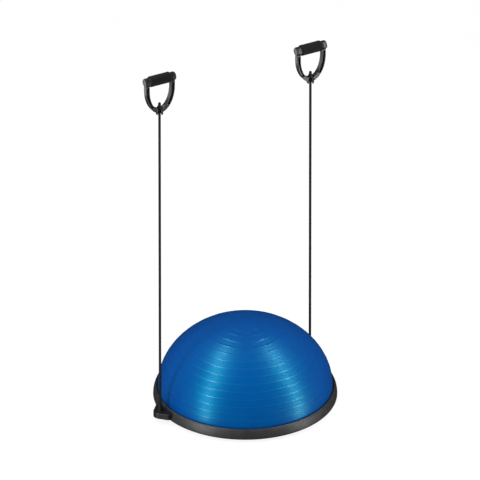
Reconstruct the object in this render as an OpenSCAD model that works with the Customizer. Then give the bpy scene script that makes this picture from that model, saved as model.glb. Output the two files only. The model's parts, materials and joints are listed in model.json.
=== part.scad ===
// Balance dome trainer: an inflated half-ball held in a round base, with two elastic pull tubes
// that stand on the base's edge and end in D-shaped handles with foam grips.
// Sizes are in millimetres. The origin is the centre of the underside, at floor level, and +Z is
// up. X runs across the base from the left tube's side to the right tube's, and +Y is the back.

/* [Base] */
// Outside diameter of the rim
base_d = 600; // [570:1:604]
// Height of the rim's top edge above the floor
rim_top = 45; // [44:1:50]
// Number of screws that hold the rim and the platform together
rim_screw_count = 16; // [8:8:16]

/* [Dome] */
// Height of the inflated dome above the rim
dome_h = 232; // [160:1:260]
// How much the dome narrows towards its top, as a share of its radius
dome_taper = 0.035; // [0:0.005:0.1]
// Wall thickness of the dome
dome_wall = 2.5; // [1.5:0.1:4]

/* [Elastic tubes] */
// Diameter of each tube
tube_d = 8.4; // [7:0.1:9]
// Distance of each tube to the side of the base's centre
anchor_x = 314; // [312:1:320]
// Distance of each tube behind the base's centre
anchor_y = 52; // [0:1:60]

/* [Handles] */
// Height of the left handle's underside above the floor
left_handle_z = 1144; // [500:1:1400]
// Height of the right handle's underside above the floor
right_handle_z = 1040; // [500:1:1400]
// Turn of both handles about their tubes
handle_turn = -10.6; // [-180:0.1:180]
// Overall width of the handle frame
handle_w = 105; // [100:1:130]
// Height of the grip's axis above the handle's underside
grip_z = 127; // [124:1:150]
// Diameter of the foam grip
foam_d = 36.5; // [27:0.5:38]

/* [Hidden] */
$fn = 96;

left = -1;
right = 1;

// Running clearance of a turning or sliding fit, on the radius
running_gap = 0.05;
// Gap between faces of pieces that move past each other
face_gap = 0.4;

// Base: radii from the rim inwards, heights from the floor up
base_r = base_d / 2;
rim_wall_r = base_r - 4.2;
bead_groove_r = base_r - 7.6;
bead_r = base_r - 8;
plate_r = base_r - 12;
lip_r = base_r - 10.5;
dome_r = base_r - 15;
screw_circle_r = base_r - 18;
platform_wall_r = base_r - 28;
ledge_inner_r = base_r - 38;
valve_well_r = 36;
plate_z = 5;
plate_top = 9;
rim_widest_z = 15;
ledge_z = 27;
dome_floor_z = 32;
bead_top = 40;
lip_z = 40.5;
valve_bore_r = 7;
valve_seat_z = 20;

// Screws of the base and the brackets
screw_d = 4;
screw_hole_d = 4.4;
screw_head_d = 8;
screw_head_h = 2;
screw_recess_d = 8.6;
screw_recess_h = 2.3;
rim_screw_top = 23;
boss_d = 9;

// Anchor brackets, each an ear on the rim that flares from its tube to the rim
anchor_r = norm([anchor_x, anchor_y]);
anchor_angle = atan2(anchor_y, anchor_x);
ear_z = 19.5;
ear_top = 39.5;
ear_tip_r = 22;
ear_half_w = 41;
ear_flare = 47;
tongue_half_w = 22;
tongue_t = 7;
tongue_inner_r = base_r - 24;
bracket_screw_y = 14;
end_stop_d = 15.6;
tube_foot_z = 28;

// Collar and ribbed sleeve around each tube's foot
collar_r = 13.5;
collar_h = 3;
sleeve_h = 28;
sleeve_ribs = 5;

// Handle frame, measured from its underside on the tube's axis
handle_half_w = handle_w / 2;
arm_t = 13;
arm_depth = 17;
arm_bend_z = 95;
arm_bottom_z = 7;
arm_inner_z = 21;
groove_edge = 3;
groove_web_t = 5;
eye_r = 14.5;
boss_r = 12;
boss_h = 21;
tube_seat_z = 13;
tube_slot_w = 10.5;
// The slot faces forward and a little to the side
slot_turn = -25;
stopper_shank_r = 7;
stopper_cone_r = 9.7;

// Grip, along the local X axis through the handle's eyes
core_r = 8;
core_bore_r = 5.5;
cap_t = 2.6;
cap_spigot_l = 12;
washer_r = 13;
washer_t = 2;
eye_inner_x = handle_half_w - arm_t;
washer_outer_x = eye_inner_x - face_gap;
foam_half_l = washer_outer_x - washer_t;
core_half_l = handle_half_w + face_gap;

// Distance between the rings of a tube's mesh, and its number of sides
tube_ring_gap = 28;
tube_sides = 12;

function reversed(list) = [for (i = [len(list) - 1:-1:0]) list[i]];

// Points along an arc about a centre, between two angles
function arc(centre, r, from, to, steps = 8) = [
    for (i = [0:steps])
        let (a = from + (to - from) * i / steps)
        centre + r * [cos(a), sin(a)]
];

// The rim's side above its widest ring, which curves inwards up to its lip
function rim_side(steps = 12) = [
    for (i = [1:steps])
        let (a = 90 * i / steps)
        [lip_r + (base_r - lip_r) * cos(a), rim_widest_z + (rim_top - rim_widest_z) * sin(a)]
];

// One side of the dome from the rim to its top: an ellipse that narrows a little as it rises
function dome_side(r, h, steps = 36) = [
    for (i = [0:steps])
        let (a = 90 * i / steps)
        [r * cos(a) * (1 - dome_taper * pow(sin(a), 2)), rim_top + h * sin(a)]
];

// The D of a handle frame: straight sides above the bend and half an ellipse below it
function d_outline(half_w, bottom_z, steps = 20) = concat(
    [[-half_w, grip_z]],
    [
        for (i = [-steps:steps])
            let (a = 90 * i / steps)
            [half_w * sin(a), arm_bend_z - (arm_bend_z - bottom_z) * cos(a)]
    ],
    [[half_w, grip_z]]
);

function handle_z(side) = side == left ? left_handle_z : right_handle_z;

function anchor_xy(side) = [side * anchor_x, anchor_y];

// Both ends of a tube's route: its foot in the bracket and its head in the handle's boss
function tube_route(side) = [
    concat(anchor_xy(side), tube_foot_z),
    concat(anchor_xy(side), handle_z(side) + tube_seat_z)
];

// Places its children around the base, with local X pointing outwards and the origin on a tube
module at_anchor(side) {
    turn = side == right ? anchor_angle : 180 - anchor_angle;
    translate(concat(anchor_xy(side), 0)) rotate([0, 0, turn]) children();
}

// Places its children on a handle, with local X along the grip
module at_handle(side) {
    translate(concat(anchor_xy(side), handle_z(side))) rotate([0, 0, handle_turn]) children();
}

// Places its children on a grip, with their Z axis along it
module along_grip(side) {
    at_handle(side) translate([0, 0, grip_z]) rotate([0, 90, 0]) children();
}

// Repeats its children at each of the rim's screws
module at_rim_screws() {
    for (i = [0:rim_screw_count - 1])
        rotate([0, 0, 360 * i / rim_screw_count])
            translate([screw_circle_r, 0, 0]) children();
}

// Repeats its children at the two screws of one bracket
module at_bracket_screws(side) {
    at_anchor(side)
        for (y = [-bracket_screw_y, bracket_screw_y])
            translate([screw_circle_r - anchor_r, y, 0]) children();
}

// Hole and head recess of a screw that enters the platform from below
module screw_hole() {
    translate([0, 0, plate_z - 1]) cylinder(d = screw_recess_d, h = screw_recess_h + 1);
    translate([0, 0, plate_z - 1]) cylinder(d = screw_hole_d, h = ledge_z - plate_z);
}

// A pan-head screw that stands on its head in the platform's recess
module screw(tip_z) {
    head_z = plate_z + screw_recess_h - screw_head_h;
    socket_r = 2;
    color("silver") difference() {
        union() {
            translate([0, 0, head_z]) cylinder(d = screw_head_d, h = screw_head_h);
            translate([0, 0, head_z]) cylinder(d = screw_d, h = tip_z - head_z);
        }
        translate([0, 0, head_z - 1]) cylinder(r = socket_r, h = 2.2, $fn = 6);
    }
}

module base_platform() {
    rib_t = 3;
    color("dimgray") difference() {
        union() {
            rotate_extrude() polygon([
                [valve_well_r, plate_z], [plate_r, plate_z], [plate_r, plate_top],
                [platform_wall_r, plate_top], [platform_wall_r, ledge_z], [bead_r, ledge_z],
                [bead_r, dome_floor_z], [ledge_inner_r, dome_floor_z], [ledge_inner_r, ledge_z],
                [platform_wall_r - 4, ledge_z], [platform_wall_r - 4, plate_top],
                [valve_well_r + 4, plate_top], [valve_well_r + 4, dome_floor_z],
                [valve_well_r, dome_floor_z]
            ]);
            rib_l = platform_wall_r - valve_well_r - 3;
            for (i = [0:15])
                rotate([0, 0, 360 * (i + 0.5) / 16])
                    translate([valve_well_r + 2, -rib_t / 2, plate_top - 1])
                        cube([rib_l, rib_t, dome_floor_z - plate_top + 1]);
            for (r = [110, 190])
                rotate_extrude() translate([r, plate_top - 1])
                    square([rib_t, dome_floor_z - plate_top + 1]);
            for (side = [left, right])
                at_bracket_screws(side) translate([0, 0, plate_top - 1])
                    cylinder(d = boss_d, h = ear_z - plate_top + 1);
        }
        at_rim_screws() screw_hole();
        for (side = [left, right]) at_bracket_screws(side) screw_hole();
        // The rim's bosses pass through these notches in the ledge
        at_rim_screws() translate([0, 0, ledge_z - 1]) {
            cylinder(d = boss_d + 1.5, h = 8);
            translate([0, -2.75, 0]) cube([15, 5.5, 8]);
        }
    }
}

module base_rim() {
    foot_r = rim_widest_z - plate_top;
    boss_h = dome_floor_z - 0.5 - plate_top;
    color([0.29, 0.28, 0.29]) difference() {
        union() {
            rotate_extrude() polygon(concat(
                arc([base_r - foot_r, rim_widest_z], foot_r, -90, 0),
                rim_side(),
                [
                    [lip_r, lip_z], [bead_groove_r, lip_z], [rim_wall_r, ledge_z],
                    [rim_wall_r, 16], [rim_wall_r - 3.3, 11], [plate_r + 0.4, plate_top]
                ]
            ));
            at_rim_screws() translate([0, 0, plate_top]) {
                cylinder(d = boss_d, h = boss_h);
                translate([2, -2, 0]) cube([12.5, 4, boss_h]);
            }
        }
        at_rim_screws() translate([0, 0, plate_top - 1])
            cylinder(d = screw_d + 0.1, h = rim_screw_top + 4 - plate_top);
        // Slots that let the brackets' tongues in
        for (side = [left, right])
            at_anchor(side) translate([base_r - anchor_r - 10, -tongue_half_w - 0.3, ear_z - 0.3])
                cube([12, 2 * tongue_half_w + 0.6, tongue_t + 0.6]);
    }
}

module non_slip_ring() {
    color([0.1, 0.1, 0.1]) rotate_extrude() polygon([
        [base_r - 46, 1], [base_r - 45, 0], [base_r - 35, 0], [base_r - 34, 1],
        [base_r - 34, plate_z], [base_r - 46, plate_z]
    ]);
}

module rim_screws() {
    at_rim_screws() screw(rim_screw_top);
}

module dome() {
    bead_chamfer = 2;
    floor_hole_r = 12;
    color([0.02, 0.34, 0.65]) rotate_extrude($fn = 180) polygon(concat(
        [
            [floor_hole_r, dome_floor_z], [bead_r, dome_floor_z],
            [bead_r, bead_top - bead_chamfer], [bead_r - bead_chamfer, bead_top],
            [dome_r, bead_top]
        ],
        dome_side(dome_r, dome_h),
        reversed(dome_side(dome_r - dome_wall, dome_h - dome_wall)),
        [
            [dome_r - dome_wall, dome_floor_z + dome_wall],
            [floor_hole_r, dome_floor_z + dome_wall]
        ]
    ));
}

module lip_seal() {
    in_r = dome_r + 0.2;
    out_r = lip_r - 0.2;
    color([0.05, 0.06, 0.09]) rotate_extrude() polygon([
        [in_r, bead_top], [out_r, bead_top], [out_r, rim_top - 3.5], [out_r - 1, rim_top - 2.5],
        [in_r + 1, rim_top - 2.5], [in_r, rim_top - 3.5]
    ]);
}

module valve_seat() {
    color("black") rotate_extrude() polygon([
        [valve_bore_r, valve_seat_z], [10, valve_seat_z], [10, dome_floor_z - 3],
        [24, dome_floor_z - 3], [24, dome_floor_z], [12, dome_floor_z],
        [12, dome_floor_z + 10], [valve_bore_r, dome_floor_z + 10]
    ]);
}

module valve_plug() {
    stem_r = valve_bore_r - running_gap;
    head_top = valve_seat_z - face_gap;
    color("white") rotate_extrude() polygon([
        [0, 15], [14, 15], [15, 16], [15, 18], [13, head_top], [stem_r, head_top],
        [stem_r, dome_floor_z + 5], [stem_r - 1, dome_floor_z + 6], [0, dome_floor_z + 6]
    ]);
}

module anchor_bracket(side) {
    tangent = ear_tip_r * [sin(ear_flare), cos(ear_flare)];
    run = (ear_half_w - tangent.y) / sin(ear_flare);
    shoulder_x = tangent.x - run * cos(ear_flare);
    inner_x = base_r - anchor_r - 10;
    color([0.09, 0.09, 0.1]) difference() {
        union() {
            difference() {
                at_anchor(side) translate([0, 0, ear_z]) {
                    cylinder(r = ear_tip_r, h = ear_top - ear_z);
                    linear_extrude(ear_top - ear_z) polygon([
                        [tangent.x, -tangent.y], tangent, [shoulder_x, ear_half_w],
                        [inner_x, ear_half_w], [inner_x, -ear_half_w], [shoulder_x, -ear_half_w]
                    ]);
                }
                rim_body();
            }
            at_anchor(side) translate([tongue_inner_r - anchor_r, -tongue_half_w, ear_z])
                cube([base_r - tongue_inner_r + 4, 2 * tongue_half_w, tongue_t]);
        }
        bracket_bores(side);
        at_bracket_screws(side) translate([0, 0, ear_z - 1])
            cylinder(d = screw_d + 0.1, h = tongue_t + 2);
    }
}

// The space inside the rim's outer side
module rim_body() {
    rotate_extrude() polygon(concat(
        [[0, 0], [base_r, 0], [base_r, rim_widest_z]], rim_side(), [[0, rim_top]]
    ));
}

// The tube's bore through a bracket, and the pocket for its end stop
module bracket_bores(side) {
    at_anchor(side) translate([0, 0, ear_z - 1]) {
        cylinder(d = tube_d + 0.4, h = ear_top);
        cylinder(d = end_stop_d + 0.4, h = tube_foot_z - ear_z + 1);
    }
}

module bracket_screws(side) {
    at_bracket_screws(side) screw(ear_z + tongue_t - 1);
}

module tube_end_stop(side) {
    color([0.12, 0.12, 0.12]) at_anchor(side) translate([0, 0, ear_z + 1])
        cylinder(d = end_stop_d, h = tube_foot_z - ear_z - 1);
}

module tube_collar(side) {
    color([0.05, 0.05, 0.05]) at_anchor(side) translate([0, 0, ear_top])
        rotate_extrude() polygon([
            [tube_d / 2 + 0.2, 0], [collar_r, 0], [collar_r, collar_h - 1],
            [collar_r - 1, collar_h], [tube_d / 2 + 0.2, collar_h]
        ]);
}

module tube_sleeve(side) {
    foot_r = 9.5;
    head_r = 6;
    step = sleeve_h / sleeve_ribs;
    // Each rib is a short cone that starts wide and ends narrow
    ribs = [
        for (i = [0:sleeve_ribs - 1], part = [0, 0.55])
            [foot_r - (foot_r - head_r) * (i + part) / sleeve_ribs - 2 * part, step * (i + part)]
    ];
    color([0.16, 0.16, 0.17]) at_anchor(side) translate([0, 0, ear_top + collar_h])
        rotate_extrude() polygon(concat(
            [[tube_d / 2 + 0.2, 0]],
            ribs,
            [[head_r - 1, sleeve_h], [tube_d / 2 + 0.2, sleeve_h]]
        ));
}

// A straight elastic tube, as rings of points along its route
module tube(side) {
    route = tube_route(side);
    ring_count = ceil(norm(route[1] - route[0]) / tube_ring_gap) + 1;
    points = [
        for (i = [0:ring_count - 1], j = [0:tube_sides - 1])
            let (a = 360 * j / tube_sides)
            route[0] + (route[1] - route[0]) * i / (ring_count - 1)
                + tube_d / 2 * [cos(a), sin(a), 0]
    ];
    foot_face = [for (j = [0:tube_sides - 1]) j];
    head_face = [for (j = [tube_sides - 1:-1:0]) (ring_count - 1) * tube_sides + j];
    walls = [
        for (i = [0:ring_count - 2], j = [0:tube_sides - 1])
            let (k = (j + 1) % tube_sides, low = i * tube_sides, high = low + tube_sides)
            [high + j, high + k, low + k, low + j]
    ];
    color([0.2, 0.21, 0.23]) polyhedron(points, concat([foot_face, head_face], walls));
}

// A plug with a shank in the boss, a cone on top of it and a knob that stands in the handle
module tube_stopper(side) {
    seat_gap = 0.3;
    knob_r = 4.7;
    knob_z = boss_h + 11;
    top_z = boss_h + 20.4;
    color([0.08, 0.08, 0.08]) at_handle(side) rotate_extrude() polygon([
        [0, tube_seat_z + seat_gap], [stopper_shank_r, tube_seat_z + seat_gap],
        [stopper_shank_r, boss_h + seat_gap], [stopper_cone_r, boss_h + seat_gap],
        [stopper_cone_r, boss_h + 1.5], [knob_r, knob_z], [knob_r, top_z - 2],
        [knob_r - 1.1, top_z - 0.5], [0, top_z]
    ]);
}

// Extrudes an outline in the handle's X-Z plane, centred on its thickness
module handle_plate(depth) {
    translate([0, depth / 2, 0]) rotate([90, 0, 0]) linear_extrude(depth) children();
}

module handle_frame(side) {
    color([0.13, 0.13, 0.14]) at_handle(side) difference() {
        union() {
            handle_plate(arm_depth) difference() {
                polygon(d_outline(handle_half_w, arm_bottom_z));
                polygon(concat(
                    d_outline(eye_inner_x, arm_inner_z),
                    [[eye_inner_x, grip_z + 1], [-eye_inner_x, grip_z + 1]]
                ));
            }
            gussets();
            cylinder(r = boss_r, h = boss_h);
            for (x = [-handle_half_w, eye_inner_x])
                translate([x, 0, grip_z]) rotate([0, 90, 0]) cylinder(r = eye_r, h = arm_t);
        }
        for (y = [-arm_depth, groove_web_t / 2]) translate([0, y, 0]) arm_groove();
        translate([-handle_w, 0, grip_z]) rotate([0, 90, 0])
            cylinder(r = core_r + running_gap, h = 2 * handle_w);
        boss_bores();
    }
}

// The thin webs between the arms and the boss
module gussets() {
    web_top_z = 34;
    web_half_w = 24;
    handle_plate(groove_web_t) polygon([
        [-web_half_w, web_top_z], [-boss_r, boss_h], [boss_r, boss_h], [web_half_w, web_top_z],
        [web_half_w, arm_inner_z + 3], [0, arm_bottom_z + 4], [-web_half_w, arm_inner_z + 3]
    ]);
}

// The channel along both arms, cut from one face down to the middle web
module arm_groove() {
    groove_foot_z = 32;
    groove_head_z = grip_z - eye_r - 3;
    depth = arm_depth - groove_web_t / 2;
    translate([0, depth, 0]) rotate([90, 0, 0]) linear_extrude(depth) intersection() {
        difference() {
            polygon(d_outline(handle_half_w - groove_edge, arm_bottom_z + groove_edge));
            polygon(d_outline(eye_inner_x + groove_edge, arm_inner_z - groove_edge));
        }
        translate([-handle_w, groove_foot_z])
            square([2 * handle_w, groove_head_z - groove_foot_z]);
    }
}

// The tube's bore, the stopper's seat and the slot that lets the tube in from the side
module boss_bores() {
    translate([0, 0, -1]) cylinder(d = tube_d + 2, h = boss_h + 2);
    translate([0, 0, tube_seat_z]) cylinder(r = stopper_shank_r + running_gap, h = boss_h);
    translate([0, 0, boss_h]) cylinder(r = stopper_cone_r + face_gap, h = boss_h);
    rotate([0, 0, slot_turn]) translate([-tube_slot_w / 2, -2 * boss_r, -1])
        cube([tube_slot_w, 2 * boss_r, boss_h + 2]);
}

module grip_core(side) {
    color([0.1, 0.1, 0.1]) along_grip(side) difference() {
        translate([0, 0, -core_half_l]) cylinder(r = core_r, h = 2 * core_half_l);
        translate([0, 0, -core_half_l - 1]) cylinder(r = core_bore_r, h = 2 * core_half_l + 2);
    }
}

module foam_grip(side) {
    edge = 3;
    color([0.19, 0.19, 0.2]) along_grip(side) rotate_extrude() polygon(concat(
        [[core_r, -foam_half_l]],
        arc([foam_d / 2 - edge, -foam_half_l + edge], edge, -90, 0),
        arc([foam_d / 2 - edge, foam_half_l - edge], edge, 0, 90),
        [[core_r, foam_half_l]]
    ));
}

// end is -1 or 1, the end of the grip along its own axis
module grip_washer(side, end) {
    low = end > 0 ? foam_half_l : -washer_outer_x;
    color([0.4, 0.4, 0.41]) along_grip(side) translate([0, 0, low]) difference() {
        cylinder(r = washer_r, h = washer_t);
        translate([0, 0, -1]) cylinder(r = core_r, h = washer_t + 2);
    }
}

module grip_cap(side, end) {
    cap_r = 13;
    edge = 1.5;
    color([0.3, 0.3, 0.31]) along_grip(side) rotate([0, end > 0 ? 0 : 180, 0])
        translate([0, 0, core_half_l]) rotate_extrude() polygon(concat(
            [[0, -cap_spigot_l], [core_bore_r, -cap_spigot_l], [core_bore_r, 0], [cap_r, 0]],
            arc([cap_r - edge, cap_t - edge], edge, 0, 90),
            [[0, cap_t]]
        ));
}

base_platform();
base_rim();
non_slip_ring();
rim_screws();
dome();
lip_seal();
valve_seat();
valve_plug();

anchor_bracket(left);  // left_anchor_bracket
bracket_screws(left);  // left_bracket_screws
tube_end_stop(left);  // left_tube_end_stop
tube_collar(left);  // left_tube_collar
tube_sleeve(left);  // left_tube_sleeve
tube(left);  // left_tube
tube_stopper(left);  // left_tube_stopper
handle_frame(left);  // left_handle_frame
grip_core(left);  // left_grip_core
foam_grip(left);  // left_foam_grip
grip_washer(left, -1);  // left_outer_grip_washer
grip_washer(left, 1);  // left_inner_grip_washer
grip_cap(left, -1);  // left_outer_grip_cap
grip_cap(left, 1);  // left_inner_grip_cap

anchor_bracket(right);  // right_anchor_bracket
bracket_screws(right);  // right_bracket_screws
tube_end_stop(right);  // right_tube_end_stop
tube_collar(right);  // right_tube_collar
tube_sleeve(right);  // right_tube_sleeve
tube(right);  // right_tube
tube_stopper(right);  // right_tube_stopper
handle_frame(right);  // right_handle_frame
grip_core(right);  // right_grip_core
foam_grip(right);  // right_foam_grip
grip_washer(right, 1);  // right_outer_grip_washer
grip_washer(right, -1);  // right_inner_grip_washer
grip_cap(right, 1);  // right_outer_grip_cap
grip_cap(right, -1);  // right_inner_grip_cap
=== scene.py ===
"""Balance dome trainer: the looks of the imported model, in metres, in the model's own frame."""
import json
import math

import bpy
from mathutils import Matrix, Vector, noise

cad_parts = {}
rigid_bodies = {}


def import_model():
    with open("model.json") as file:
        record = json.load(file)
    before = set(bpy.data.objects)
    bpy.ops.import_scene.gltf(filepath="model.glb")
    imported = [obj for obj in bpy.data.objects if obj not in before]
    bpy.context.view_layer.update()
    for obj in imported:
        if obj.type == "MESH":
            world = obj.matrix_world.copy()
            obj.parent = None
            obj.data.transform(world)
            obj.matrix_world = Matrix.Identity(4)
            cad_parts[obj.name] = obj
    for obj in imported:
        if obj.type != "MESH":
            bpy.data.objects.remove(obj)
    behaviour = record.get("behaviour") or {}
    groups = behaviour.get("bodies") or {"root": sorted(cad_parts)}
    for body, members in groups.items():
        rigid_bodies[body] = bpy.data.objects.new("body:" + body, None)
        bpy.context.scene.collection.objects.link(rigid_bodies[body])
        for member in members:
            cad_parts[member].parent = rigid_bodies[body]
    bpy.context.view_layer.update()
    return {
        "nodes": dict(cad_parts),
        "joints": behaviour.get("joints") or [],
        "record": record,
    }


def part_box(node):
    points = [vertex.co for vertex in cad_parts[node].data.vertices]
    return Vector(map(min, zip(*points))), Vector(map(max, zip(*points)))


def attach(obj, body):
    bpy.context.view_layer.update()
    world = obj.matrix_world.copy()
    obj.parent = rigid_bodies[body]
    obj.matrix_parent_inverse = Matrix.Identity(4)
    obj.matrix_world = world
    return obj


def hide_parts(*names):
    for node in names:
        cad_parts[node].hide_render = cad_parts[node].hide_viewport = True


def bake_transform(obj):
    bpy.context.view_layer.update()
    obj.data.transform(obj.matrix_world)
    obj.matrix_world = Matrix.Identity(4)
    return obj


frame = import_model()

MM = 0.001
SIDES = ("left", "right")
ENDS = ("outer", "inner")
UP = Vector((0, 0, 1))


# ---------------------------------------------------------------- places and names, from the frame

BEHAVIOUR = frame["record"]["behaviour"]
JOINTS = {joint["name"]: joint for joint in frame["joints"]}
BODY_OF = {node: body for body, nodes in BEHAVIOUR["bodies"].items() for node in nodes}
SLOT_OF = {part["node"]: part["material_slot"] for part in frame["record"]["subparts"]}

RIM_LOW, RIM_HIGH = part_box("base_rim")
DOME_LOW, DOME_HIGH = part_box("dome")
BASE_R = RIM_HIGH.y
RIM_TOP = RIM_HIGH.z

# radius of the rim's opening at its lip, and of the dome where it leaves the rim
LIP_INSET = 10.5 * MM
SEAL_GAP = 4.5 * MM
LIP_R = BASE_R - LIP_INSET
DOME_R = LIP_R - SEAL_GAP

# height of the dome above the rim, and how much slimmer than an ellipse it is near its top
DOME_H = DOME_HIGH.z - RIM_TOP
DOME_TAPER = 0.035


def tube_axis(side):
    """The point on the floor below a tube."""
    low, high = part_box(f"{side}_tube")
    return Vector(((low.x + high.x) / 2, (low.y + high.y) / 2, 0))


def tube_place(side):
    """Local frame of a tube: on the floor below it."""
    return Matrix.Translation(tube_axis(side))


def handle_place(side):
    """Local frame of a handle: its underside on the tube's axis, with X along the grip."""
    low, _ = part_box(f"{side}_handle_frame")
    grip_axis = Vector(JOINTS[f"{side}_grip_spin"]["axis"])
    turn = Matrix.Rotation(math.atan2(grip_axis.y, grip_axis.x), 4, "Z")
    return Matrix.Translation(tube_axis(side) + low.z * UP) @ turn


def grip_place(side):
    """Local frame of a grip: at its middle, with Z along its axis."""
    middle = Vector(JOINTS[f"{side}_grip_spin"]["pos_m"])
    turn = handle_place(side).to_3x3().to_4x4()
    return Matrix.Translation(middle) @ turn @ Matrix.Rotation(math.radians(90), 4, "Y")


def measure(node, place):
    """How far a round node reaches along a place's Z axis, from low to high, and its radius."""
    to_local = place.inverted()
    points = [to_local @ vertex.co for vertex in frame["nodes"][node].data.vertices]
    heights = [p.z for p in points]
    return min(heights), max(heights), max(math.hypot(p.x, p.y) for p in points)


def end_place(side, node):
    """Local frame of a piece at one end of a grip: at the grip's middle, with Z towards the piece."""
    place = grip_place(side)
    low, high, _ = measure(node, place)
    if low + high > 0:
        return place
    return place @ Matrix.Rotation(math.radians(180), 4, "X")


# ---------------------------------------------------------------- camera

VIEW_AZIMUTH = -39
VIEW_ELEVATION = 29.5


def look_from(azimuth, elevation):
    """Unit vector from the object towards a camera; azimuth 0 looks along +Y."""
    a, e = math.radians(azimuth), math.radians(elevation)
    return Vector((math.sin(a) * math.cos(e), -math.cos(a) * math.cos(e), math.sin(e)))


def add_camera():
    """A very long lens from far away, so that both tubes stay upright as in a catalogue picture."""
    distance, view_width = 74, 1.5576
    aim_height, aim_left = 0.587, 0.017
    towards = look_from(VIEW_AZIMUTH, VIEW_ELEVATION)
    right = UP.cross(towards).normalized()
    aim = aim_height * UP - aim_left * right
    data = bpy.data.cameras.new("camera")
    data.sensor_width = 36
    data.lens = data.sensor_width * distance / view_width
    data.clip_end = 2 * distance
    camera = bpy.data.objects.new("camera", data)
    camera.location = aim + distance * towards
    camera.rotation_euler = towards.to_track_quat("Z", "Y").to_euler()
    bpy.context.scene.collection.objects.link(camera)
    bpy.context.scene.camera = camera


# ---------------------------------------------------------------- outlines and meshes

ON_AXIS = 1e-7  # a point of a profile that is nearer to the axis than this counts as on it


def arc(centre, radius, start, end, steps=8):
    """Points of an arc in a profile's plane; angles in degrees."""
    angles = [math.radians(start + (end - start) * i / steps) for i in range(steps + 1)]
    return [(centre[0] + radius * math.cos(a), centre[1] + radius * math.sin(a)) for a in angles]


def fillet(outline, radius, steps=4):
    """Rounds the corners of a closed outline, by less where a side is short; points at x 0 stay."""
    most_of_side = 0.45
    rounded = []
    for i, corner in enumerate(outline):
        here = Vector(corner)
        back = Vector(outline[i - 1]) - here
        ahead = Vector(outline[(i + 1) % len(outline)]) - here
        if here.x < ON_AXIS:
            rounded.append(here)
            continue
        half_angle = back.angle(ahead) / 2
        cut = min(radius / math.tan(half_angle), most_of_side * back.length,
                  most_of_side * ahead.length)
        start = here + cut * back.normalized()
        end = here + cut * ahead.normalized()
        for k in range(steps + 1):
            t = k / steps
            rounded.append(start * (1 - t) ** 2 + here * 2 * t * (1 - t) + end * t ** 2)
    return [tuple(p) for p in rounded]


def lathe(profile, segments, place=Matrix.Identity(4)):
    """Points and faces of a closed profile of (radius, height), turned about a place's Z axis."""
    points, rings, faces = [], [], []
    for radius, height in profile:
        if radius < ON_AXIS:
            rings.append([len(points)] * segments)
            points.append(place @ Vector((0, 0, height)))
            continue
        rings.append(range(len(points), len(points) + segments))
        for k in range(segments):
            a = 2 * math.pi * k / segments
            points.append(place @ Vector((radius * math.cos(a), radius * math.sin(a), height)))
    for low, high in zip(rings, rings[1:] + rings[:1]):
        for k in range(segments):
            n = (k + 1) % segments
            corners = dict.fromkeys([low[k], low[n], high[n], high[k]])
            if len(corners) > 2:
                faces.append(tuple(corners))
    return points, faces


def prism(outline, low, high):
    """Points and faces of an outline in the X-Y plane, raised from low to high."""
    count = len(outline)
    points = [Vector((x, y, z)) for z in (low, high) for x, y in outline]
    walls = [(k, (k + 1) % count, count + (k + 1) % count, count + k) for k in range(count)]
    return points, [tuple(reversed(range(count))), tuple(range(count, 2 * count))] + walls


def new_piece(name, *shapes):
    """One mesh piece from several shapes, smooth except at its sharp edges."""
    sharp = math.radians(35)
    points, faces = [], []
    for shape_points, shape_faces in shapes:
        faces += [[len(points) + corner for corner in face] for face in shape_faces]
        points += shape_points
    mesh = bpy.data.meshes.new(name)
    mesh.from_pydata(points, [], faces)
    mesh.shade_smooth()
    mesh.set_sharp_from_angle(angle=sharp)
    piece = bpy.data.objects.new(name, mesh)
    bpy.context.scene.collection.objects.link(piece)
    return piece


def softened(name, node, voxel, rounds):
    """A copy of a CAD node with all its edges rounded, as they are on a moulded part."""
    weld_gap = 0.01 * MM
    piece = bpy.data.objects.new(name, frame["nodes"][node].data.copy())
    bpy.context.scene.collection.objects.link(piece)
    piece.modifiers.new("weld", "WELD").merge_threshold = weld_gap
    remesh = piece.modifiers.new("remesh", "REMESH")
    remesh.mode = "VOXEL"
    remesh.voxel_size = voxel
    smooth = piece.modifiers.new("smooth", "SMOOTH")
    smooth.factor = 0.5
    smooth.iterations = rounds
    bpy.context.view_layer.update()
    moulded = piece.evaluated_get(bpy.context.evaluated_depsgraph_get())
    piece.data = bpy.data.meshes.new_from_object(moulded)
    piece.modifiers.clear()
    piece.data.shade_smooth()
    return piece


# ---------------------------------------------------------------- materials

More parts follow.
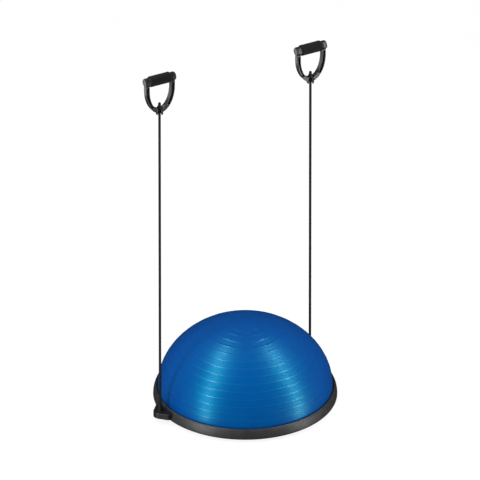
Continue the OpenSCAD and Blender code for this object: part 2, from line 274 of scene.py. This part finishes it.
class Look:
    """A procedural material: a Principled shader and the texture nodes that feed it."""

    def __init__(self, name, **sockets):
        self.material = bpy.data.materials.new(name)
        self.material.use_nodes = True
        self.nodes = self.material.node_tree.nodes
        self.links = self.material.node_tree.links
        self.shader = self.nodes["Principled BSDF"]
        self.place = self.nodes.new("ShaderNodeTexCoord").outputs["Object"]
        for socket, value in sockets.items():
            self.shader.inputs[socket.replace("_", " ")].default_value = value

    def node(self, kind, output, settings=(), **inputs):
        """Adds a node with its inputs, given as values or as other nodes' outputs."""
        made = self.nodes.new("ShaderNode" + kind)
        for setting, value in dict(settings).items():
            setattr(made, setting, value)
        for socket, value in inputs.items():
            target = made.inputs[socket.replace("_", " ")]
            if isinstance(value, bpy.types.NodeSocket):
                self.links.new(value, target)
            else:
                target.default_value = value
        return made.outputs[output]

    def noise(self, size, detail=2, stretch=(1, 1, 1)):
        """Cloudy noise with features of a size in metres, drawn out along the axes by stretch."""
        scale = Vector(1 / s for s in stretch)
        place = self.node("Mapping", "Vector", Vector=self.place, Scale=scale)
        return self.node("TexNoise", "Fac", Vector=place, Scale=1 / size, Detail=detail)

    def cells(self, size):
        """Distance to the nearest of scattered points, one in every size metres or so."""
        return self.node("TexVoronoi", "Distance", Vector=self.place, Scale=1 / size)

    def colours(self, factor, low, high, start=0.3, end=0.7):
        """The base colour runs from low to high as the factor goes from start to end."""
        ramp = self.nodes.new("ShaderNodeValToRGB")
        for element, position, colour in zip(ramp.color_ramp.elements, (start, end), (low, high)):
            element.position = position
            element.color = (*colour, 1)
        self.links.new(factor, ramp.inputs["Fac"])
        self.links.new(ramp.outputs["Color"], self.shader.inputs["Base Color"])

    def roughness(self, factor, low, high):
        """The roughness runs from low to high with the factor."""
        result = self.node("MapRange", "Result", Value=factor, From_Min=0.3, From_Max=0.7,
                           To_Min=low, To_Max=high)
        self.links.new(result, self.shader.inputs["Roughness"])

    def bump(self, *layers):
        """Raises the surface by layers of (factor, height in metres), one on top of the other."""
        normal = None
        for factor, height in layers:
            inputs = {"Height": factor, "Distance": height}
            if normal:
                inputs["Normal"] = normal
            normal = self.node("Bump", "Normal", **inputs)
        self.links.new(normal, self.shader.inputs["Normal"])


def dome_vinyl():
    """Satin PVC: a soft wide gloss in the vinyl and a narrow one on its surface."""
    look = Look("dome_vinyl", Specular_IOR_Level=0.75, Specular_Tint=(0, 0.85, 1, 1),
                Coat_Roughness=0.24)
    look.colours(look.noise(60 * MM), (0, 0.029, 0.150), (0, 0.032, 0.160))
    look.roughness(look.noise(9 * MM), 0.34, 0.40)
    ridge = look.node("Attribute", "Fac", {"attribute_name": "ridge"})
    gloss = look.node("MapRange", "Result", Value=ridge, To_Min=0.03, To_Max=0.65)
    look.links.new(gloss, look.shader.inputs["Coat Weight"])
    look.bump((look.noise(14 * MM), 0.05 * MM), (look.noise(0.7 * MM), 0.01 * MM))
    return look.material


def moulded_plastic(name, dark, light, rough, grain, depth):
    """Injection-moulded plastic with a fine spark-eroded grain."""
    patchy = 0.04
    look = Look(name, Specular_IOR_Level=0.5)
    look.colours(look.noise(25 * MM, detail=4), dark, light)
    look.roughness(look.noise(6 * MM), rough - patchy, rough + patchy)
    look.bump((look.noise(20 * MM), 0.06 * MM), (look.noise(grain, detail=1), depth))
    return look.material


def rubber(name, dark, light, rough):
    """Moulded rubber: matt, with a faint bloom on it."""
    patchy = 0.06
    look = Look(name, Specular_IOR_Level=0.15)
    look.colours(look.noise(8 * MM, detail=4), dark, light)
    look.roughness(look.noise(4 * MM), rough - patchy, rough + patchy)
    look.bump((look.noise(0.6 * MM), 0.02 * MM))
    return look.material


def tube_rubber():
    """Extruded latex, with faint streaks along the tube."""
    look = Look("tube_rubber", Specular_IOR_Level=0.02)
    along = (1, 1, 60)
    look.colours(look.noise(2 * MM, stretch=along), (0.006, 0.007, 0.008), (0.012, 0.013, 0.015))
    look.roughness(look.noise(5 * MM), 0.52, 0.62)
    look.bump((look.noise(1.2 * MM, stretch=along), 0.03 * MM))
    return look.material


def grip_foam():
    """Closed-cell foam with a skin of fine pores."""
    pore = 1.1 * MM
    look = Look("grip_foam", Specular_IOR_Level=0.05, Sheen_Weight=0.02, Sheen_Roughness=0.5)
    look.colours(look.cells(pore), (0.002, 0.002, 0.002), (0.007, 0.007, 0.007), 0.1, 0.5)
    look.roughness(look.noise(3 * MM), 0.82, 0.95)
    look.bump((look.noise(9 * MM), 0.15 * MM), (look.cells(pore), 0.12 * MM))
    return look.material


def screw_steel():
    """Zinc-plated steel, brightest on its turned faces."""
    look = Look("screw_steel", Metallic=1.0)
    look.colours(look.noise(1.5 * MM, detail=4), (0.42, 0.43, 0.44), (0.60, 0.60, 0.58))
    look.roughness(look.noise(0.5 * MM), 0.25, 0.42)
    look.bump((look.noise(0.3 * MM, stretch=(1, 1, 8)), 0.01 * MM))
    return look.material


LOOKS = {
    "dome_vinyl": dome_vinyl(),
    "rim_plastic": moulded_plastic(
        "rim_plastic", dark=(0.013, 0.012, 0.013), light=(0.019, 0.018, 0.019),
        rough=0.46, grain=0.9 * MM, depth=0.05 * MM),
    "platform_plastic": moulded_plastic(
        "platform_plastic", dark=(0.020, 0.020, 0.021), light=(0.030, 0.030, 0.032),
        rough=0.52, grain=1.1 * MM, depth=0.06 * MM),
    "bracket_plastic": moulded_plastic(
        "bracket_plastic", dark=(0.005, 0.005, 0.0055), light=(0.009, 0.009, 0.0095),
        rough=0.38, grain=0.6 * MM, depth=0.03 * MM),
    "handle_plastic": moulded_plastic(
        "handle_plastic", dark=(0.006, 0.006, 0.0065), light=(0.010, 0.010, 0.011),
        rough=0.36, grain=0.5 * MM, depth=0.02 * MM),
    # the washers' mid grey, far lighter than the black handle, is partly their own colour and partly
    # a painted highlight: it draws a pale line between each eye of the handle and the foam
    "washer_plastic": moulded_plastic(
        "washer_plastic", dark=(0.06, 0.06, 0.062), light=(0.09, 0.09, 0.093),
        rough=0.45, grain=0.5 * MM, depth=0.02 * MM),
    "valve_plastic": moulded_plastic(
        "valve_plastic", dark=(0.68, 0.68, 0.65), light=(0.76, 0.76, 0.73),
        rough=0.35, grain=0.5 * MM, depth=0.02 * MM),
    "black_rubber": rubber(
        "black_rubber", dark=(0.004, 0.004, 0.0045), light=(0.008, 0.008, 0.0085), rough=0.62),
    "tube_rubber": tube_rubber(),
    "grip_foam": grip_foam(),
    "screw_steel": screw_steel(),
}


def dress(piece, slot):
    """Gives a piece the look of a material slot, and says that it takes that slot's finish."""
    piece.data.materials.clear()
    piece.data.materials.append(LOOKS[slot])


def stand_for(piece, node):
    """The piece is shown in a CAD node's place, on the node's body and with its finish."""
    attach(piece, BODY_OF[node])
    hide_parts(node)
    dress(piece, SLOT_OF[node])


# ---------------------------------------------------------------- elastic tubes, the object's cords

def tube_route(side):
    """Evenly spaced points up the middle of a tube, from its foot to its head."""
    low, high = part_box(f"{side}_tube")
    point_gap = 50 * MM
    count = math.ceil((high.z - low.z) / point_gap)
    step = (high.z - low.z) / count
    return [tube_axis(side) + (low.z + i * step) * UP for i in range(count + 1)]


def add_tube(side):
    """A tube with rounded ends, from its sleeve up to its handle."""
    node = f"{side}_tube"
    low, high, radius = measure(node, tube_place(side))
    rings_per_point = 4
    edge = 0.6 * MM
    route = tube_route(side)
    rings = (len(route) - 1) * rings_per_point
    wall = [(radius, low + edge + (high - low - 2 * edge) * i / rings) for i in range(rings + 1)]
    profile = [(0, low), (radius - edge, low), *wall, (radius - edge, high), (0, high)]
    piece = new_piece(f"{side}_elastic_tube", lathe(profile, 32, tube_place(side)))
    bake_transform(piece)
    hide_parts(node)
    dress(piece, SLOT_OF[node])


# ---------------------------------------------------------------- base and dome

# angles up the dome's side, in degrees: its ridges from the top one down, and half a ridge
TOP_RIDGE, RIDGE_GAP, RIDGE_COUNT = 80.5, 5.75, 14
RIDGES = [TOP_RIDGE - RIDGE_GAP * k for k in range(RIDGE_COUNT)]
RIDGE_HALF_W = math.degrees(1.1 * MM / DOME_H)


def dome_point(angle, lift=0.0, wall=0.0):
    """A point (radius, height) of the dome at an angle up its side, lifted off or set into it."""
    def surface(a):
        radius = (DOME_R - wall) * math.cos(a) * (1 - DOME_TAPER * math.sin(a) ** 2)
        return Vector((radius, RIM_TOP + (DOME_H - wall) * math.sin(a)))
    a, step = math.radians(angle), 0.001
    along = (surface(a + step) - surface(a - step)).normalized()
    return tuple(surface(a) + lift * Vector((along.y, -along.x)))


def dome_side():
    """The dome's outer side from the rim to its top, with the thin ridges that run round it."""
    ridge_h = 0.25 * MM
    ridge_shape = ((-1, 0), (-0.55, 0.75), (0, 1), (0.55, 0.75), (1, 0))
    step = 1.25
    plain = [step * k for k in range(round(90 / step))]
    lifts = {a: 0.0 for a in plain if from_ridge(a) > 2 * RIDGE_HALF_W}
    for ridge in RIDGES:
        for across, height in ridge_shape:
            lifts[ridge + across * RIDGE_HALF_W] = height * ridge_h
    return [dome_point(a, lifts[a]) for a in sorted(lifts)] + [(0, DOME_HIGH.z)]


def from_ridge(angle):
    """Angle up the dome's side between a point and the nearest ridge."""
    return min(abs(angle - ridge) for ridge in RIDGES)


def polish_ridges(piece):
    """Marks the ridges in an attribute, which makes them glossier than the rest of the dome."""
    marked_half_w = 0.8 * RIDGE_HALF_W
    polish = piece.data.attributes.new("ridge", "FLOAT", "POINT")
    for vertex in piece.data.vertices:
        rise = min(1, max(0, (vertex.co.z - RIM_TOP) / DOME_H))
        angle = math.degrees(math.asin(rise))
        polish.data[vertex.index].value = from_ridge(angle) < marked_half_w


def add_dome():
    """The bladder: a closed shell with a round bead that the rim holds down, and a valve hole."""
    wall = 2.5 * MM
    floor_z = DOME_LOW.z
    bead_r = DOME_HIGH.y
    bead_h, bead_edge, edge_steps = 8 * MM, 2 * MM, 4
    hole_r = 12 * MM
    inside_step = 2.5
    bead = fillet([(bead_r, floor_z), (bead_r, floor_z + bead_h), (DOME_R, floor_z + bead_h),
                   (DOME_R, floor_z)], bead_edge, edge_steps)
    outer_corners = bead[:2 * (edge_steps + 1)]
    inside = [(0, DOME_HIGH.z - wall)]
    steps = round(90 / inside_step)
    inside += [dome_point(inside_step * k, wall=wall) for k in reversed(range(steps))]
    profile = [(hole_r, floor_z), *outer_corners, (DOME_R, floor_z + bead_h), *dome_side(),
               *inside, (DOME_R - wall, floor_z + wall), (hole_r, floor_z + wall)]
    piece = new_piece("dome_bladder", lathe(profile, 256))
    polish_ridges(piece)
    stand_for(piece, "dome")


def add_rim():
    """The rim's band: a rounded foot and a side that curves inwards up to the lip."""
    foot_r = 6 * MM
    widest_z = RIM_LOW.z + foot_r
    lip_z = RIM_TOP - 4.5 * MM
    lip_under_r = BASE_R - 7.6 * MM
    wall_r = BASE_R - 4.2 * MM
    wall_top_z, wall_low_z = 27 * MM, 16 * MM
    slant_w, slant_z = 3.3 * MM, 11 * MM
    foot_inner_r = BASE_R - 11.6 * MM
    side = arc((BASE_R - foot_r, widest_z), foot_r, -90, 0, 12)
    for x, y in arc((0, 0), 1, 0, 90, 24)[1:]:
        side.append((LIP_R + (BASE_R - LIP_R) * x, widest_z + (RIM_TOP - widest_z) * y))
    inner = [(LIP_R, lip_z), (lip_under_r, lip_z), (wall_r, wall_top_z), (wall_r, wall_low_z),
             (wall_r - slant_w, slant_z), (foot_inner_r, RIM_LOW.z)]
    stand_for(new_piece("rim_band", lathe(side + inner, 256)), "base_rim")


def add_lip_seal():
    """The rubber ring between the rim's lip and the dome."""
    clearance, edge = 0.2 * MM, 1.2 * MM
    low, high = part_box("lip_seal")
    in_r, out_r = DOME_R + clearance, high.y
    profile = fillet([(in_r, low.z), (out_r, low.z), (out_r, high.z), (in_r, high.z)], edge)
    stand_for(new_piece("lip_seal_ring", lathe(profile, 256)), "lip_seal")


def add_non_slip_ring():
    """A flat rubber ring with grooves in its underside."""
    low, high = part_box("non_slip_ring")
    ring_w, edge = 12 * MM, 0.6 * MM
    grooves, first_groove, groove_gap = 3, 2.2 * MM, 3 * MM
    across_groove = (0, 0.3 * MM, 1.3 * MM, 1.6 * MM)
    groove_d = 1.2 * MM
    out_r, in_r = high.y, high.y - ring_w
    sole = [in_r]
    for k in range(grooves):
        sole += [in_r + first_groove + groove_gap * k + across for across in across_groove]
    sole.append(out_r)
    depths = [0] + [0, groove_d, groove_d, 0] * grooves + [0]
    outline = [(r, low.z + depth) for r, depth in zip(sole, depths)]
    outline += [(out_r, high.z), (in_r, high.z)]
    stand_for(new_piece("non_slip_tread", lathe(fillet(outline, edge), 192)), "non_slip_ring")


def add_platform_tread():
    """Low rounded ribs under the platform, so that feet don't slip when it is turned over."""
    plate_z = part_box("base_platform")[0].z
    first_r, rib_gap, rib_count = 52 * MM, 16 * MM, 13
    rib_w, rib_h, sunk, edge = 2.6 * MM, 0.9 * MM, 0.3 * MM, 0.7 * MM
    ribs = []
    for radius in (first_r + rib_gap * k for k in range(rib_count)):
        outline = [(radius, plate_z - rib_h), (radius + rib_w, plate_z - rib_h),
                   (radius + rib_w, plate_z + sunk), (radius, plate_z + sunk)]
        ribs.append(lathe(fillet(outline, edge), 192))
    piece = new_piece("platform_tread_ribs", *ribs)
    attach(piece, "base")
    dress(piece, SLOT_OF["base_platform"])


def add_valve():
    """The rubber seat under the dome, and the plug that closes it."""
    bore_r, clearance = 7 * MM, 0.05 * MM
    add_valve_seat(bore_r)
    add_valve_plug(bore_r - clearance)


def add_valve_seat(bore_r):
    """A grommet that grips the edge of the hole in the dome's floor."""
    low, high, radius = measure("valve_seat", Matrix.Identity(4))
    tube_r, neck_r = 10 * MM, 12 * MM
    flange_t, edge = 3 * MM, 0.8 * MM
    floor_z = DOME_LOW.z
    flange_z = floor_z - flange_t
    seat = [(bore_r, low), (tube_r, low), (tube_r, flange_z), (radius, flange_z),
            (radius, floor_z), (neck_r, floor_z), (neck_r, high), (bore_r, high)]
    stand_for(new_piece("valve_seat_grommet", lathe(fillet(seat, edge), 64)), "valve_seat")


def add_valve_plug(stem_r):
    """A stem with a chamfered tip, and a dished head with a bar across it for the fingers."""
    low, high, radius = measure("valve_plug", Matrix.Identity(4))
    head_top, dish = low + 4.6 * MM, 2.2 * MM
    dish_floor_r, dish_r = 10 * MM, 11.5 * MM
    tip, edge = 1 * MM, 0.6 * MM
    plug = [(0, low + dish), (dish_floor_r, low + dish), (dish_r, low), (radius, low),
            (radius, head_top), (stem_r, head_top), (stem_r, high - tip), (stem_r - tip, high),
            (0, high)]
    bar_l, bar_w = 10.5 * MM, 2 * MM
    bar_low, bar_high = low + 0.2 * MM, low + dish + 0.3 * MM
    outline = [(-bar_l, -bar_w), (bar_l, -bar_w), (bar_l, bar_w), (-bar_l, bar_w)]
    bar = prism(outline, bar_low, bar_high)
    stand_for(new_piece("valve_plug_head", lathe(fillet(plug, edge), 64), bar), "valve_plug")


# ---------------------------------------------------------------- anchors of the tubes

def add_anchor(side):
    """The bracket on the rim, and the collar and sleeve where the tube leaves it."""
    bracket = softened(f"{side}_bracket_ear", f"{side}_anchor_bracket", voxel=0.8 * MM, rounds=5)
    stand_for(bracket, f"{side}_anchor_bracket")

    place = tube_place(side)
    clearance, collar_edge = 0.2 * MM, 1.1 * MM
    _, _, tube_r = measure(f"{side}_tube", place)
    bore_r = tube_r + clearance
    low, high, radius = measure(f"{side}_tube_collar", place)
    outline = [(bore_r, low), (radius, low), (radius, high), (bore_r, high)]
    collar = new_piece(f"{side}_collar_ring", lathe(fillet(outline, collar_edge), 64, place))
    stand_for(collar, f"{side}_tube_collar")

    low, high, foot_r = measure(f"{side}_tube_sleeve", place)
    outline = sleeve_profile(low, high, foot_r, bore_r)
    sleeve = new_piece(f"{side}_ribbed_sleeve", lathe(outline, 64, place))
    stand_for(sleeve, f"{side}_tube_sleeve")


def sleeve_profile(low, high, foot_r, bore_r):
    """Short cones on top of each other, each narrower than the one below."""
    ribs, head_r, groove = 5, 6 * MM, 1.1 * MM
    thinnest, head_edge, edge, edge_steps = 0.3 * MM, 1 * MM, 0.5 * MM, 3
    step = (high - low) / ribs
    outline = [(bore_r, low)]
    for i in range(ribs):
        for share, depth in ((0, 0), (0.55, groove), (0.95, groove)):
            radius = foot_r - (foot_r - head_r) * (i + share) / ribs - depth
            outline.append((max(radius, bore_r + thinnest), low + step * (i + share)))
    outline += [(head_r - head_edge, high), (bore_r, high)]
    return fillet(outline, edge, edge_steps)


# ---------------------------------------------------------------- handles

def add_handle(side):
    """A handle with the stopper that holds it on its tube, and its grip."""
    handle = softened(f"{side}_handle_stirrup", f"{side}_handle_frame", voxel=0.7 * MM, rounds=4)
    stand_for(handle, f"{side}_handle_frame")
    add_stopper(side)
    add_foam(side)
    for end in ENDS:
        add_washer(side, end)
        add_cap(side, end)


def add_stopper(side):
    """The plug in the tube's head: a shank in the boss, a cone and a round knob."""
    node = f"{side}_tube_stopper"
    place = handle_place(side)
    low, high, cone_r = measure(node, place)
    shank_r, shank_h = 7 * MM, 8 * MM
    cone_edge, cone_h = 1.2 * MM, 10.7 * MM
    knob_r, crown_h, crown_inset = 4.7 * MM, 3 * MM, 1.4 * MM
    edge = 1.2 * MM
    cone_z = low + shank_h
    profile = [(0, low), (shank_r, low), (shank_r, cone_z), (cone_r, cone_z),
               (cone_r, cone_z + cone_edge), (knob_r, cone_z + cone_h), (knob_r, high - crown_h),
               (knob_r - crown_inset, high), (0, high)]
    piece = new_piece(f"{side}_stopper_knob", lathe(fillet(profile, edge), 48, place))
    stand_for(piece, node)


def add_foam(side):
    """A foam tube with rounded ends and the slight unevenness of cut foam."""
    node = f"{side}_foam_grip"
    place = grip_place(side)
    low, high, radius = measure(node, place)
    _, _, core_r = measure(f"{side}_grip_core", place)
    edge, rings = 3.2 * MM, 72
    uneven, patch = 0.35 * MM, 11 * MM
    pore, pore_size = 0.06 * MM, 1.4 * MM
    bore_r = core_r + 0.1 * MM
    skin_r = radius - uneven
    length = high - low - 2 * edge
    side_line = [(skin_r, low + edge + length * i / rings) for i in range(1, rings)]
    profile = [(core_r, low), *arc((skin_r - edge, low + edge), edge, -90, 0), *side_line,
               *arc((skin_r - edge, high - edge), edge, 0, 90), (core_r, high)]
    piece = new_piece(f"{side}_foam_sleeve", lathe(profile, 96, place))
    to_local = place.inverted()
    for vertex in piece.data.vertices:
        local = to_local @ vertex.co
        if math.hypot(local.x, local.y) < bore_r:
            continue
        outwards = place.to_3x3() @ Vector((local.x, local.y, 0)).normalized()
        waves = uneven * noise.noise(local / patch) + pore * noise.noise(local / pore_size)
        vertex.co += waves * outwards
    stand_for(piece, node)


def add_washer(side, end):
    """The disc between the foam and an eye of the handle."""
    edge = 0.6 * MM
    node = f"{side}_{end}_grip_washer"
    place = end_place(side, node)
    low, high, radius = measure(node, place)
    _, _, core_r = measure(f"{side}_grip_core", place)
    outline = fillet([(core_r, low), (radius, low), (radius, high), (core_r, high)], edge)
    stand_for(new_piece(f"{side}_{end}_washer_disc", lathe(outline, 64, place)), node)


def add_cap(side, end):
    """A flanged plug in the end of the grip's core, with a dished face."""
    node = f"{side}_{end}_grip_cap"
    place = end_place(side, node)
    low, high, radius = measure(node, place)
    spigot_r, flange_t, edge = 5.5 * MM, 2.6 * MM, 0.9 * MM
    dish_r, dish_slope, dish = 7 * MM, 1 * MM, 0.8 * MM
    profile = [(0, low), (spigot_r, low), (spigot_r, high - flange_t), (radius, high - flange_t),
               (radius, high), (dish_r, high), (dish_r - dish_slope, high - dish),
               (0, high - dish)]
    piece = new_piece(f"{side}_{end}_cap_plug", lathe(fillet(profile, edge), 64, place))
    stand_for(piece, node)


# ---------------------------------------------------------------- studio

def add_floor():
    """Pale paper that glows by itself, so that only a soft shadow shows; clear from below."""
    look = Look("floor_paper", Roughness=0.9, Specular_IOR_Level=0.1,
                Emission_Color=(1, 1, 1, 1), Emission_Strength=0.88)
    look.colours(look.noise(0.4, detail=3), (0.075, 0.075, 0.075), (0.085, 0.085, 0.085))
    reach = 20
    corners = [Vector((x, y, 0)) for x, y in ((-reach, -reach), (reach, -reach),
                                              (reach, reach), (-reach, reach))]
    floor = new_piece("floor", (corners, [(0, 1, 2, 3)]))
    floor.data.materials.append(look.material)
    below = look.node("NewGeometry", "Backfacing")
    clear = look.node("BsdfTransparent", "BSDF")
    surface = look.nodes.new("ShaderNodeMixShader")
    for socket, source in zip(surface.inputs, (below, look.shader.outputs["BSDF"], clear)):
        look.links.new(source, socket)
    look.links.new(surface.outputs["Shader"], look.nodes["Material Output"].inputs["Surface"])
    floor.visible_diffuse = False
    floor.visible_glossy = False
    floor.visible_shadow = False


def add_strip_light(name, start, end, power):
    """A long narrow softbox between two points, facing the middle of the dome."""
    width, dome_middle = 0.25, 0.15 * UP
    along = end - start
    up = along.normalized()
    middle = (start + end) / 2
    right = up.cross(middle - dome_middle).normalized()
    data = bpy.data.lights.new(name, "AREA")
    data.shape = "RECTANGLE"
    data.size = width
    data.size_y = along.length
    data.energy = power * along.length
    light = bpy.data.objects.new(name, data)
    turn = Matrix((right, up, right.cross(up))).transposed().to_4x4()
    light.matrix_world = Matrix.Translation(middle) @ turn
    bpy.context.scene.collection.objects.link(light)


def add_bent_strip(name, power, *stations):
    """A row of softboxes, of a power in watts a metre, bent to go through stations.

    A station is (angle from the camera's side in degrees, distance from the dome's axis, height).
    """
    points = [distance * look_from(VIEW_AZIMUTH + angle, 0) + height * UP
              for angle, distance, height in stations]
    for number, (start, end) in enumerate(zip(points, points[1:])):
        add_strip_light(f"{name}_{number}", start, end, power)


def add_handle_light(side):
    """A softbox behind a handle that shines on it alone, so that its outer end shows pale."""
    width, reach, radiance = 0.12, 0.3, 2.4
    behind, below = 115, 27
    middle = grip_place(side).translation
    towards = look_from(VIEW_AZIMUTH - behind, -below)
    data = bpy.data.lights.new(f"{side}_handle_light", "AREA")
    data.size = width
    data.energy = radiance * math.pi * width ** 2
    light = bpy.data.objects.new(data.name, data)
    light.location = middle + reach * towards
    light.rotation_euler = towards.to_track_quat("Z", "Y").to_euler()
    bpy.context.scene.collection.objects.link(light)
    lit = bpy.data.collections.new(data.name)
    for piece in bpy.context.scene.objects:
        of_handle = piece.name.startswith((f"{side}_handle", f"{side}_outer", f"{side}_inner"))
        if piece.type == "MESH" and of_handle:
            lit.objects.link(piece)
    light.light_linking.receiver_collection = lit


def add_world():
    """Even light from all round on matt surfaces; the gloss sees a nearly dark studio."""
    matt_light, gloss_light = 1.3, 0.01
    world = bpy.data.worlds.new("studio")
    world.use_nodes = True
    world.cycles.sampling_method = "NONE"  # sampled as a light, it would shine on gloss as on matt
    nodes, links = world.node_tree.nodes, world.node_tree.links
    mix = nodes.new("ShaderNodeMix")
    mix.inputs["A"].default_value = matt_light
    mix.inputs["B"].default_value = gloss_light
    links.new(nodes.new("ShaderNodeLightPath").outputs["Is Glossy Ray"], mix.inputs["Factor"])
    links.new(mix.outputs["Result"], nodes["Background"].inputs["Strength"])
    nodes["Background"].inputs["Color"].default_value = (1, 1, 1, 1)
    bpy.context.scene.world = world


def add_studio():
    """Floor, even light, and two bent rows of softboxes that draw a pale band on the dome each."""
    add_floor()
    add_world()
    for side in SIDES:
        add_handle_light(side)
    add_bent_strip("left_strip", 13.5, (-51, 2.1, -0.75), (-47, 2.25, 0), (-56, 1.55, 1.68),
                   (-132, 0.9, 2.15))
    add_bent_strip("right_strip", 11.5, (72, 2.0, -0.85), (66, 2.2, 0), (71, 1.65, 1.5),
                   (130, 0.95, 2.1))
    bpy.context.scene.view_settings.view_transform = "Standard"


# ---------------------------------------------------------------- the whole

def add_base():
    """The dome, and what it is held in."""
    add_dome()
    add_rim()
    add_lip_seal()
    add_non_slip_ring()
    add_platform_tread()
    add_valve()


def dress_cad_nodes():
    """Gives the CAD nodes that stay in sight the look of their slot."""
    for node, shape in frame["nodes"].items():
        if not shape.hide_render:
            dress(shape, SLOT_OF[node])


add_camera()
for side in SIDES:
    add_tube(side)
add_base()
for side in SIDES:
    add_anchor(side)
    add_handle(side)
dress_cad_nodes()
add_studio()
